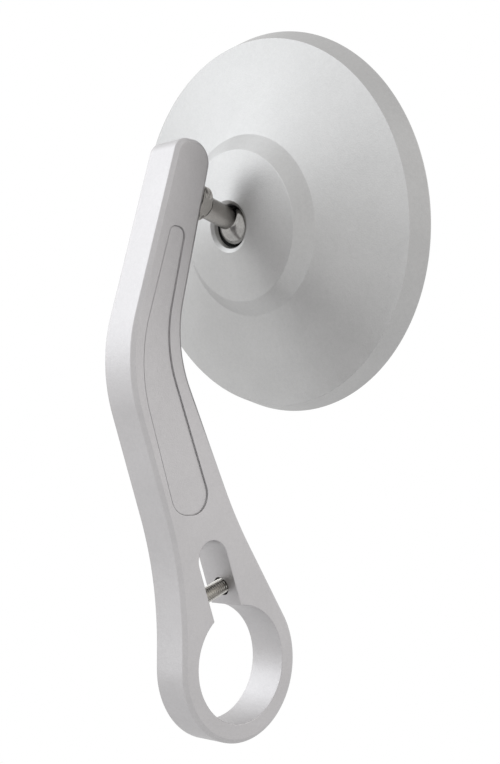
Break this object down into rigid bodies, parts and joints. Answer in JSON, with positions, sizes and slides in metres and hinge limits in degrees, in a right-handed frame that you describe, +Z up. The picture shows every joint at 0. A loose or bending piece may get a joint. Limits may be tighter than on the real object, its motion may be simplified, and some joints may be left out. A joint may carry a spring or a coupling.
{
  "type": "motorcycle bar end mirror",
  "caption": "Round convex-rimmed metal mirror on a ball stud, carried by a bent flat arm with a split clamp ring that grips a handlebar end.",
  "frame": {"origin": "centre of the clamp ring's bore, half way through the arm", "axes": "+X outboard along the bore, +Y back towards the mirror head, +Z up"},
  "size_m": [0.0766, 0.0486, 0.1393],
  "materials": {
    "anodised_aluminium": "clear anodised, fine bead-blasted satin",
    "blasted_aluminium": "clear anodised, fine bead-blasted satin",
    "stainless_screw": "rolled thread, satin",
    "polished_stud": "turned and polished",
    "liner_plastic": "moulded, matt",
    "turned_steel": "turned",
    "spring_steel": "blued",
    "pad_foam": "closed-cell foam",
    "mirror": "silvered glass"
  },
  "bodies": {
    "arm": {"arm": "anodised_aluminium", "clamp_screw": "stainless_screw", "clamp_washer": "stainless_screw", "ball_stud": "polished_stud"},
    "rear_liner": {"pressure_cup": "liner_plastic"},
    "mouth_liner": {"seat_ring": "liner_plastic"},
    "head": {"housing": "blasted_aluminium", "pressure_plate": "turned_steel", "disc_spring_rear": "spring_steel", "disc_spring_front": "spring_steel", "adjusting_plug": "turned_steel", "glass_pad": "pad_foam", "mirror_glass": "mirror"}
  },
  "joints": [
    {"name": "stud_swivel", "type": "hinge", "parent": "arm", "child": "rear_liner", "pos_m": [0, 0.00416, 0.08516], "axis": [0, -0.9728, 0.2317], "range_deg": [-90, 90]},
    {"name": "head_tilt", "type": "hinge", "parent": "rear_liner", "child": "mouth_liner", "pos_m": [0, 0.00416, 0.08516], "axis": [1, 0, 0], "range_deg": [-36, 5]},
    {"name": "head_spin", "type": "hinge", "parent": "mouth_liner", "child": "head", "pos_m": [0, 0.00416, 0.08516], "axis": [0, 0.9874, 0.1582], "continuous": true}
  ]
}
